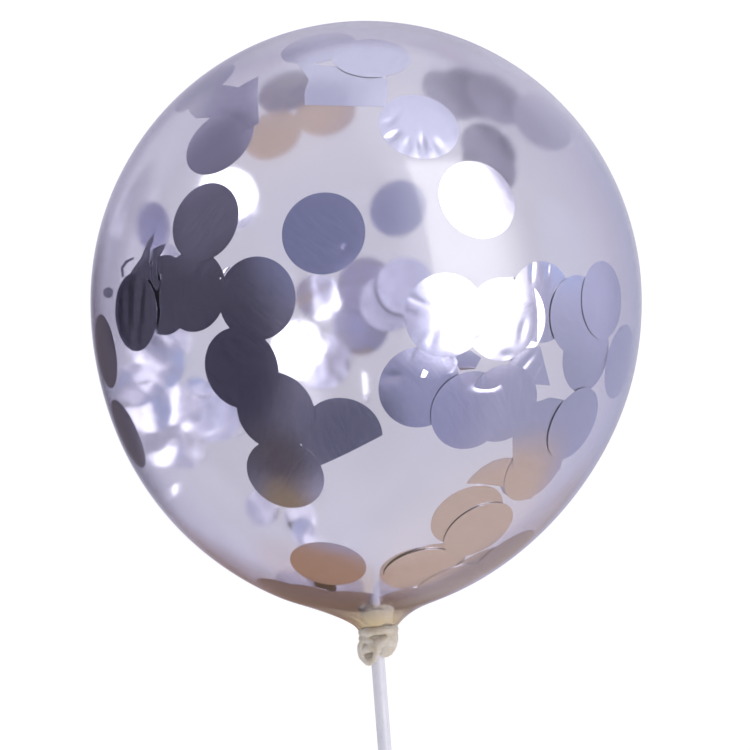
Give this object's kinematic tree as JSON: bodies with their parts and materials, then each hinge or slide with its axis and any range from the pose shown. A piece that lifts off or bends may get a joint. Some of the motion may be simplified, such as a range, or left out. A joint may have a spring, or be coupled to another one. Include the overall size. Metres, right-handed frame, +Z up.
{
  "type": "confetti balloon on a stick",
  "caption": "Clear latex balloon tied off in a knot on a white plastic stick, with silver foil confetti sealed inside; it lies on its side on a small flat.",
  "frame": {"origin": "middle of the small flat on the balloon's side on which it rests", "axes": "+Z up, away from the surface it lies on; +Y along the surface towards the balloon's crown, -Y towards the stick's free end; +X to the right of somebody who looks down on it with the crown away from them"},
  "size_m": [0.236, 0.5508, 0.2356],
  "materials": {
    "clear_latex": "glossy, see-through",
    "white_plastic": "satin",
    "silver_foil": "polished, lightly scratched"
  },
  "bodies": {
    "root": {"balloon": "clear_latex", "stick": "white_plastic"}
  },
  "joints": []
}
